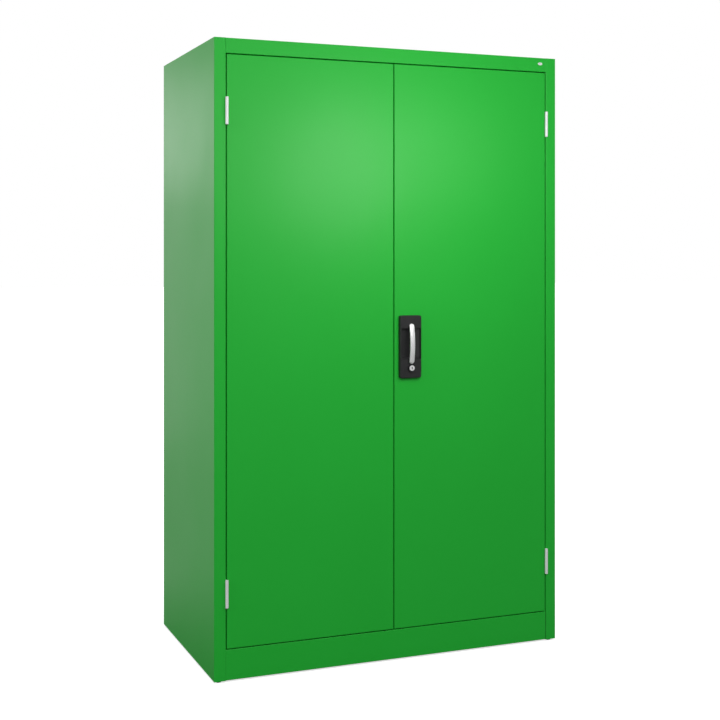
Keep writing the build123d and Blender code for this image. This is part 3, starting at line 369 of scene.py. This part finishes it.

# slot: name, colour, other colour, edge colour (lighter: wear and a painted edge highlight), least
# and most roughness
MOULDINGS = {
    "black_plastic": ("black_handle_plastic", rgb(0.010, 0.010, 0.011),
                      rgb(0.012, 0.012, 0.013), rgb(0.035, 0.035, 0.037), 0.46, 0.52),
    "rubber": ("buffer_rubber", rgb(0.02, 0.02, 0.02), rgb(0.026, 0.025, 0.024),
               rgb(0.05, 0.05, 0.05), 0.7, 0.85),
    "foot_plastic": ("foot_plastic", rgb(0.010, 0.270, 0.022), rgb(0.010, 0.285, 0.024),
                     rgb(0.03, 0.36, 0.05), 0.4, 0.5),
}


def new_finish(name, metallic=0.0, specular=0.5):
    """Material with one Principled shader."""
    finish = bpy.data.materials.new(name)
    finish.use_nodes = True
    tree = finish.node_tree
    shader = tree.nodes["Principled BSDF"]
    shader.inputs["Metallic"].default_value = metallic
    shader.inputs["Specular IOR Level"].default_value = specular
    return finish, tree, shader


def plinth_joint_shade(tree):
    """Mask of a painted shadow line along the joint where the plinth meets the right upright."""
    x, y, z = split(tree, own_place(tree))
    near = remap(tree, distance_from(tree, x, PLINTH_HIGH.x),
                 JOINT_REACH * JOINT_CORE, JOINT_REACH, 1.0, 0.0)
    low = combine(tree, "LESS_THAN", z, PLINTH_HIGH.z)
    front = combine(tree, "LESS_THAN", y, PLINTH_LOW.y + JOINT_REACH)
    return combine(tree, "MULTIPLY", near, combine(tree, "MULTIPLY", low, front))


def powder_coat(groups):
    """Half-gloss green powder coat."""
    finish, tree, shader = new_finish("green_powder_coat", specular=COAT_SPECULAR)
    drift = use_group(tree, groups["colour_drift"], Colour=GREEN, Other_Colour=GREEN_OTHER,
                      Patch_Size=0.35, Edge_Colour=GREEN_EDGE, Edge_Reach=0.0012, Edge_Amount=0.12)
    peel = use_group(tree, groups["orange_peel"], Ripple_Size=0.0022,
                     Roughness_Low=COAT_ROUGHNESS - COAT_ROUGHNESS_DRIFT,
                     Roughness_High=COAT_ROUGHNESS + COAT_ROUGHNESS_DRIFT)
    # painted shadow line at the plinth's joint with the right upright
    shade = blend_colours(tree, plinth_joint_shade(tree), drift.outputs["Colour"], JOINT_SHADE)
    tree.links.new(shade, shader.inputs["Base Color"])
    tree.links.new(peel.outputs["Roughness"], shader.inputs["Roughness"])
    bump(tree, shader, peel.outputs["Height"], distance=0.00005)
    return finish


def zinc_sheet(groups):
    """Galvanised sheet with faint spangle."""
    finish, tree, shader = new_finish("galvanised_sheet", metallic=1.0)
    spangle = use_group(tree, groups["zinc_spangle"], Crystal_Size=0.009)
    shade = blend_colours(tree, spangle.outputs["Shade"], ZINC, ZINC_OTHER)
    rough = remap(tree, spangle.outputs["Shade"], 0.0, 1.0, *ZINC_ROUGHNESS)
    tree.links.new(shade, shader.inputs["Base Color"])
    tree.links.new(rough, shader.inputs["Roughness"])
    bump(tree, shader, spangle.outputs["Seam"], distance=0.0001, strength=0.3)
    return finish


def plated_steel(groups, name, colour, other, low, high, metallic):
    """Drawn steel with a bright plate."""
    finish, tree, shader = new_finish(name, metallic=metallic)
    drift = use_group(tree, groups["colour_drift"], Colour=colour, Other_Colour=other,
                      Patch_Size=0.03, Edge_Colour=STEEL_EDGE, Edge_Reach=0.0006, Edge_Amount=0.6)
    lines = use_group(tree, groups["drawn_lines"], Line_Width=0.0005, Stretch=30.0,
                      Roughness_Low=low, Roughness_High=high)
    tree.links.new(drift.outputs["Colour"], shader.inputs["Base Color"])
    tree.links.new(lines.outputs["Roughness"], shader.inputs["Roughness"])
    bump(tree, shader, lines.outputs["Height"], distance=0.00003)
    return finish


def moulding(groups, name, colour, other, edge, low, high):
    """Spark-eroded grain on a moulded plastic or rubber piece."""
    finish, tree, shader = new_finish(name)
    drift = use_group(tree, groups["colour_drift"], Colour=colour, Other_Colour=other,
                      Patch_Size=0.04, Edge_Colour=edge, Edge_Reach=0.0008, Edge_Amount=0.5)
    grain = use_group(tree, groups["orange_peel"], Ripple_Size=0.0007, Roughness_Low=low,
                      Roughness_High=high)
    tree.links.new(drift.outputs["Colour"], shader.inputs["Base Color"])
    tree.links.new(grain.outputs["Roughness"], shader.inputs["Roughness"])
    bump(tree, shader, grain.outputs["Height"], distance=0.00005)
    return finish


def make_finishes():
    """Finish of each material slot."""
    groups = {group.name: group for group in (
        orange_peel_group(), colour_drift_group(), drawn_lines_group(), zinc_spangle_group())}
    made = {"powder_coat": powder_coat(groups), "zinc_sheet": zinc_sheet(groups)}
    for slot, row in PLATED_STEELS.items():
        made[slot] = plated_steel(groups, *row)
    for slot, row in MOULDINGS.items():
        made[slot] = moulding(groups, *row)
    return made


def dress_nodes(finishes):
    """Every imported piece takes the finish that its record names."""
    for part in frame["record"]["subparts"]:
        mesh = nodes[part["node"]].data
        finish = finishes[part["material_slot"]]
        if not mesh.materials:
            mesh.materials.append(finish)
        for index in range(len(mesh.materials)):
            mesh.materials[index] = finish


# ---------------------------------------------------------------- pieces
def new_piece(name, shape, body, slot, finishes):
    """Object from a finished bmesh, riding on a body, in the finish of its slot."""
    mesh = bpy.data.meshes.new(name)
    bmesh.ops.recalc_face_normals(shape, faces=shape.faces)
    shape.to_mesh(mesh)
    shape.free()
    mesh.materials.append(finishes[slot])
    piece = bpy.data.objects.new(name, mesh)
    bpy.context.scene.collection.objects.link(piece)
    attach(piece, body)
    return piece


def smooth_below(piece, degrees):
    """Smooth shading except at edges sharper than the given angle."""
    mesh = piece.data
    mesh.shade_smooth()
    mesh.set_sharp_from_angle(angle=radians(degrees))


def full_turn(steps, offset=0.0):
    """Angles of a full turn in even steps."""
    return [2 * pi * (index + offset) / steps for index in range(steps)]


def add_rings(shape, rings):
    """Skin of quads over rings of points, with flat ends."""
    loops = [[shape.verts.new(point) for point in ring] for ring in rings]
    count = len(loops[0])
    for low, high in zip(loops, loops[1:]):
        for index in range(count):
            after = (index + 1) % count
            shape.faces.new((low[index], low[after], high[after], high[index]))
    shape.faces.new(loops[-1])
    shape.faces.new(list(reversed(loops[0])))


def add_round(shape, seat, profile, sides, reach=None):
    """Round form on a seat that faces +Y, from (radius, height) pairs.

    `reach` scales the radius by the profile's step and by the angle."""
    rings = []
    for step, (radius, height) in enumerate(profile):
        ring = []
        for angle in full_turn(sides):
            length = radius * (reach(step, angle) if reach else 1.0)
            ring.append(seat + Vector((length * cos(angle), height, length * sin(angle))))
        rings.append(ring)
    add_rings(shape, rings)


def hexagon_reach(angle):
    """Distance to a hexagon's side along an angle, for a corner distance of 1."""
    return cos(pi / 6) / cos((angle % (pi / 3)) - pi / 6)


def socket_screw(shape, seat):
    """Button head with a hexagon socket."""
    radius, height = SCREW_HEAD_RADIUS, SCREW_HEAD_HEIGHT
    profile = [(radius, 0.0), (radius, SCREW_RIM * height)]
    profile += [(radius * cos(turn), height * (SCREW_RIM + (1 - SCREW_RIM) * sin(turn)))
                for turn in map(radians, SCREW_DOME_DEGREES)]
    socket = len(profile)
    profile += [(SCREW_SOCKET_RADIUS * across, height * up) for across, up in SCREW_SOCKET_MOUTH]
    profile.append((SCREW_SOCKET_RADIUS, height - SCREW_SOCKET_DEPTH))
    add_round(shape, seat, profile, SCREW_SIDES,
              reach=lambda step, angle: hexagon_reach(angle) if step >= socket else 1.0)


def screws_on(name, body, seats, finishes):
    """Screws of the lock and its guides, as one piece."""
    shape = bmesh.new()
    for seat in seats:
        socket_screw(shape, Vector(seat))
    smooth_below(new_piece(name, shape, body, "lock_steel", finishes), degrees=35)


def cover_screws(finishes):
    """Four screws at the corners of the gearbox cover."""
    low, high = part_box("gearbox_cover")
    seats = [(x, high.y, z)
             for x in (low.x + COVER_SCREW_INSET, high.x - COVER_SCREW_INSET)
             for z in (low.z + COVER_SCREW_INSET, high.z - COVER_SCREW_INSET)]
    screws_on("gearbox_cover_screws", "right_door", seats, finishes)


def guide_seats(node, half_width, heights):
    """Middle of each foot of the straps over a rod or bolt."""
    low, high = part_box(node)
    middle = (low.x + high.x) / 2
    face = CABINET_FRONT + SHEET + GUIDE_SHEET
    reach = half_width + GUIDE_CLEARANCE + GUIDE_SHEET + GUIDE_FOOT / 2
    return [(middle + side * reach, face, z) for z in heights for side in (-1, 1)]


def guide_screws(finishes):
    """A screw in each foot of the rod and bolt guides."""
    for name, body, half_width, places in (
            ("rod_guide_screws", "right_door", ROD_HALF_WIDTH, ROD_GUIDE_HEIGHTS),
            ("bolt_guide_screws", "left_door", BOLT_HALF_WIDTH, BOLT_GUIDE_HEIGHTS)):
        seats = []
        for node, heights in places:
            seats += guide_seats(node, half_width, heights)
        screws_on(name, body, seats, finishes)


def spot_welds(name, body, seats, finishes):
    """Ringed dimples of spot welds at the seats."""
    profile = [(WELD_SPOT_RADIUS * radius, WELD_SPOT_DEPTH * height)
               for radius, height in WELD_SPOT_PROFILE]
    shape = bmesh.new()
    for seat in seats:
        add_round(shape, Vector(seat), profile, WELD_SPOT_SIDES)
    smooth_below(new_piece(name, shape, body, "powder_coat", finishes), degrees=60)


def even_places(low, high):
    """Places at the welds' pitch, in the middle between two ends."""
    count = int((high - low) / WELD_SPOT_PITCH)
    first = (low + high - count * WELD_SPOT_PITCH) / 2
    return [first + step * WELD_SPOT_PITCH for step in range(count + 1)]


def stiffener_welds(finishes):
    """Rows of spot welds on the feet of both door stiffeners."""
    for side in ("left", "right"):
        low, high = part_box(f"{side}_door_stiffener")
        seats = [(x, CABINET_FRONT + 2 * SHEET, z)
                 for x in (low.x + STIFFENER_FOOT_MIDDLE, high.x - STIFFENER_FOOT_MIDDLE)
                 for z in even_places(low.z + WELD_END_GAP, high.z - WELD_END_GAP)]
        spot_welds(f"{side}_stiffener_welds", f"{side}_door", seats, finishes)


def back_welds(finishes):
    """Rows of spot welds round the back, through the flanges and the rear rail."""
    low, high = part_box("side_panel_left")[0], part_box("side_panel_right")[1]
    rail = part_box("base_rail_rear")[1].z
    inset = REAR_FLANGE_WIDTH / 2
    seats = [(x, high.y, z) for x in (low.x + inset, high.x - inset)
             for z in even_places(rail, high.z - WELD_END_GAP)]
    seats += [(x, high.y, z) for z in (high.z - inset, (low.z + rail) / 2)
              for x in even_places(low.x + WELD_END_GAP, high.x - WELD_END_GAP)]
    spot_welds("back_welds", "cabinet", seats, finishes)


def foot_threads(finishes):
    """Screw thread on each foot's stem, above its bush."""
    for corner in ("front_left", "front_right", "rear_left", "rear_right"):
        low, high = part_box(f"levelling_foot_{corner}")
        middle = (low + high) / 2
        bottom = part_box("foot_brackets")[1].z + THREAD_PITCH
        turns = (high.z - bottom - THREAD_PITCH) / THREAD_PITCH
        steps = int(turns * THREAD_STEPS)
        root = STEM_RADIUS - THREAD_ROOT
        rings = []
        for step in range(steps + 1):
            angle = 2 * pi * step / THREAD_STEPS
            fade = min(1.0, step / THREAD_STEPS, (steps - step) / THREAD_STEPS)
            crest = STEM_RADIUS + THREAD_HEIGHT * max(fade, THREAD_RUNOUT)
            z = bottom + THREAD_PITCH * step / THREAD_STEPS
            rings.append([Vector((middle.x + radius * cos(angle), middle.y + radius * sin(angle),
                                  z + rise))
                          for radius, rise in ((root, -THREAD_ROOT_RISE),
                                               (crest, -THREAD_CREST_RISE),
                                               (crest, THREAD_CREST_RISE),
                                               (root, THREAD_ROOT_RISE))])
        shape = bmesh.new()
        add_rings(shape, rings)
        smooth_below(new_piece(f"{corner}_foot_thread", shape, f"foot_{corner}",
                               "foot_plastic", finishes), degrees=40)


def header_badge(finishes):
    """Blank oval badge with a raised rim, at the right end of the header."""
    x, z = BADGE_PLACE
    rings = [[Vector((x + BADGE_HALF_WIDTH * radius * cos(angle),
                      CABINET_FRONT - BADGE_THICKNESS * height,
                      z + BADGE_HALF_HEIGHT * radius * sin(angle)))
              for angle in full_turn(BADGE_SIDES)] for radius, height in BADGE_PROFILE]
    shape = bmesh.new()
    add_rings(shape, rings)
    smooth_below(new_piece("header_badge", shape, "cabinet", "chrome", finishes), degrees=50)


def keyway_shade(finishes):
    """Dark plate with round ends over the keyway of the lock plug, painted shade standing in for
    the keyway's depth.
    """
    middle = (PLUG_LOW + PLUG_HIGH) / 2
    straight = KEYWAY_SHADE_HALF_HEIGHT - KEYWAY_SHADE_HALF_WIDTH
    rings = []
    for radius, height in KEYWAY_SHADE_PROFILE:
        ring = []
        for angle in full_turn(KEYWAY_SHADE_SIDES, offset=0.5):
            rise = straight if sin(angle) > 0 else -straight
            ring.append(Vector((middle.x + KEYWAY_SHADE_HALF_WIDTH * radius * cos(angle),
                                PLUG_LOW.y - KEYWAY_SHADE_THICKNESS * height,
                                middle.z + rise + KEYWAY_SHADE_HALF_WIDTH * radius * sin(angle))))
        rings.append(ring)
    shape = bmesh.new()
    add_rings(shape, rings)
    smooth_below(new_piece("keyway_shade", shape, "lock", "black_plastic", finishes), degrees=40)


def bow_depth(share, end, middle):
    """Depth on the bow's curve; the share of its half length runs from -1 to 1."""
    return middle + (end - middle) * share * share


def squared(value):
    """Sine or cosine pushed out towards the corners of the bow's section."""
    return abs(value) ** BOW_SQUARENESS * (1 if value > 0 else -1)


def bowed_grip(finishes):
    """Bow with crowned faces and soft ends."""
    half_width = (BOW_HIGH.x - BOW_LOW.x) / 2
    half_length = (BOW_HIGH.z - BOW_LOW.z) / 2
    middle_x = (BOW_HIGH.x + BOW_LOW.x) / 2
    middle_z = (BOW_HIGH.z + BOW_LOW.z) / 2
    rings = []
    for step in range(BOW_RINGS + 1):
        along = -cos(pi * step / BOW_RINGS) * half_length * BOW_REACH
        share = along / half_length
        into_end = max(0.0, abs(along) - (half_length - half_width))
        width = sqrt(half_width ** 2 - into_end ** 2)
        taper = 1.0 - BOW_END_TAPER * (into_end / half_width) ** 3
        back = bow_depth(share, BOW_HIGH.y, BOW_LOW.y + BOW_MIDDLE_THICKNESS)
        front = bow_depth(share, BOW_HIGH.y - BOW_END_THICKNESS, BOW_LOW.y)
        front = back + (front - back) * taper
        rings.append([Vector((middle_x + width * squared(cos(angle)),
                              (front + back) / 2 - (back - front) / 2 * squared(sin(angle)),
                              middle_z + along)) for angle in full_turn(BOW_SIDES)])
    shape = bmesh.new()
    add_rings(shape, rings)
    grip = new_piece("bowed_grip", shape, "handle", "chrome", finishes)
    smooth_below(grip, degrees=60)
    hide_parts("handle_bow")


# ---------------------------------------------------------------- light and floor
AMBIENT = 0.54
ROOM_LOW = 0.06               # what gloss shows near the floor, and up high
ROOM_HIGH = 0.6
ROOM_RISE = (0.05, 0.7)       # upward share of a direction
BACKDROP = 0.795
BACKDROP_SIDE = (-0.35, 0.15)     # backward share of a direction

FLOOR_REACH = 40.0
FLOOR_COLOUR = 0.25           # as it lights the cabinet, and as it is seen
FLOOR_SEEN = 0.8
FLOOR_SHINE = 0.437
FLOOR_SHINE_SIDE = (-0.3, 1.0)    # Y where the shine starts and where it is full
FLOOR_MOTTLE_SCALE = 6.0
FLOOR_MOTTLE = 0.98
UNDERCUT = 0.02               # the dark under the cabinet starts this far inside
DARK_EDGE = 0.012
NEAR_REACH = 0.6
NEAR_SHARE = 0.66

DOORS_TOP = (-0.1, -0.3, 1.55)
SIDE_MIDDLE = (-0.6, 0.0, 1.3)

LAMPS = (
    # name, place, aim, width, height, power
    ("near_lamp", (0.07, -0.89, 1.60), DOORS_TOP, 0.35, 0.45, 0.95),
    ("door_lamp", (0.25, -1.19, 1.69), DOORS_TOP, 1.1, 0.4, 2.6),
    ("front_lamp", (0.673, -2.3, 1.776), DOORS_TOP, 0.7, 0.7, 5.0),
    ("high_lamp", (-1.2, -4.2, 3.2), DOORS_TOP, 1.6, 1.6, 79.5),
    ("left_lamp", (-3.6, -0.8, 2.3), (-0.6, 0.0, 1.2), 1.6, 1.6, 19.4),
    ("side_lamp", (-1.283, 2.371, 1.958), SIDE_MIDDLE, 0.7, 0.7, 2.3),
    ("rear_lamp", (-1.747, 4.034, 0.878), SIDE_MIDDLE, 1.6, 2.4, 4.6),
)


def seen_in_gloss(tree, path):
    """1 for a ray that left metal, glass or gloss."""
    return combine(tree, "MAXIMUM", path.outputs["Is Glossy Ray"],
                   path.outputs["Is Transmission Ray"])


def make_world():
    """White behind the cabinet, a dimmer room in front of it, and plain soft light."""
    world = bpy.data.worlds.new("studio")
    bpy.context.scene.world = world
    world.use_nodes = True
    tree = world.node_tree
    tree.nodes.clear()
    toward = split(tree, add_node(tree, "ShaderNodeTexCoord").outputs["Generated"])
    room = remap(tree, toward[2], *ROOM_RISE, ROOM_LOW, ROOM_HIGH)
    behind = remap(tree, toward[1], *BACKDROP_SIDE, 0.0, 1.0)
    shown = blend_values(tree, behind, room, BACKDROP)
    path = add_node(tree, "ShaderNodeLightPath")
    strength = blend_values(tree, seen_in_gloss(tree, path), AMBIENT, shown)
    strength = combine(tree, "MAXIMUM", strength, path.outputs["Is Camera Ray"])
    sky = add_node(tree, "ShaderNodeBackground", {"Color": rgb(1, 1, 1), "Strength": strength})
    out = add_node(tree, "ShaderNodeOutputWorld")
    tree.links.new(sky.outputs[0], out.inputs["Surface"])


def beyond_footprint(tree, place):
    """Distance of a floor point from the dark rectangle under the cabinet."""
    off = []
    for axis in (0, 1):
        low, high = FOOTPRINT_LOW[axis] + UNDERCUT, FOOTPRINT_HIGH[axis] - UNDERCUT
        away = distance_from(tree, place[axis], (low + high) / 2)
        away = combine(tree, "MAXIMUM", combine(tree, "SUBTRACT", away, (high - low) / 2))
        off.append(combine(tree, "MULTIPLY", away, away))
    return combine(tree, "SQRT", combine(tree, "ADD", *off))


def floor_finish():
    """Pale matt floor that glows white where no shadow falls."""
    finish = bpy.data.materials.new("pale_floor")
    finish.use_nodes = True
    tree = finish.node_tree
    tree.nodes.clear()
    place = split(tree, own_place(tree))
    distance = beyond_footprint(tree, place)
    clear = combine(tree, "MULTIPLY", remap(tree, distance, 0.0, DARK_EDGE, 0.0, 1.0),
                    remap(tree, distance, 0.0, NEAR_REACH, NEAR_SHARE, 1.0))
    path = add_node(tree, "ShaderNodeLightPath")
    seen = path.outputs["Is Camera Ray"]
    behind = remap(tree, place[1], *FLOOR_SHINE_SIDE, 0.0, FLOOR_SHINE)
    mirrored = combine(tree, "MULTIPLY", behind, seen_in_gloss(tree, path))
    shown = combine(tree, "MULTIPLY", clear, combine(tree, "MAXIMUM", seen, mirrored))
    grey = remap(tree, seen, 0.0, 1.0, FLOOR_COLOUR, FLOOR_SEEN)
    mottle = remap(tree, noise(tree, FLOOR_MOTTLE_SCALE), *NOISE_WIDE, FLOOR_MOTTLE, 1.0)
    matt = add_node(tree, "ShaderNodeBsdfDiffuse", {
        "Color": combine(tree, "MULTIPLY", grey, mottle),
    })
    glow = add_node(tree, "ShaderNodeEmission", {"Color": rgb(1, 1, 1), "Strength": shown})
    both = add_node(tree, "ShaderNodeAddShader", {0: matt.outputs[0], 1: glow.outputs[0]})
    out = add_node(tree, "ShaderNodeOutputMaterial")
    tree.links.new(both.outputs[0], out.inputs["Surface"])
    return finish


def make_floor():
    """Wide level floor under the feet."""
    corners = [(x * FLOOR_REACH, y * FLOOR_REACH, 0)
               for x, y in ((-1, -1), (1, -1), (1, 1), (-1, 1))]
    mesh = bpy.data.meshes.new("floor")
    mesh.from_pydata(corners, [], [(0, 1, 2, 3)])
    mesh.materials.append(floor_finish())
    floor = bpy.data.objects.new("floor", mesh)
    bpy.context.scene.collection.objects.link(floor)


def soft_lamp(name, place, target, width, height, power):
    """Oval area lamp, aimed at a point and unseen itself."""
    lamp = bpy.data.lights.new(name, "AREA")
    lamp.shape = "ELLIPSE"
    lamp.size = width
    lamp.size_y = height
    lamp.energy = power
    holder = bpy.data.objects.new(name, lamp)
    bpy.context.scene.collection.objects.link(holder)
    holder.location = place
    holder.visible_camera = False
    aim = Vector(target) - Vector(place)
    holder.rotation_euler = aim.to_track_quat("-Z", "Y").to_euler()


def light_studio():
    """World, floor and lamps."""
    make_world()
    make_floor()
    for lamp in LAMPS:
        soft_lamp(*lamp)


place_camera()
finishes = make_finishes()
dress_nodes(finishes)
bowed_grip(finishes)
header_badge(finishes)
keyway_shade(finishes)
cover_screws(finishes)
guide_screws(finishes)
stiffener_welds(finishes)
back_welds(finishes)
foot_threads(finishes)
light_studio()

scene = bpy.context.scene
scene.view_settings.view_transform = "Standard"
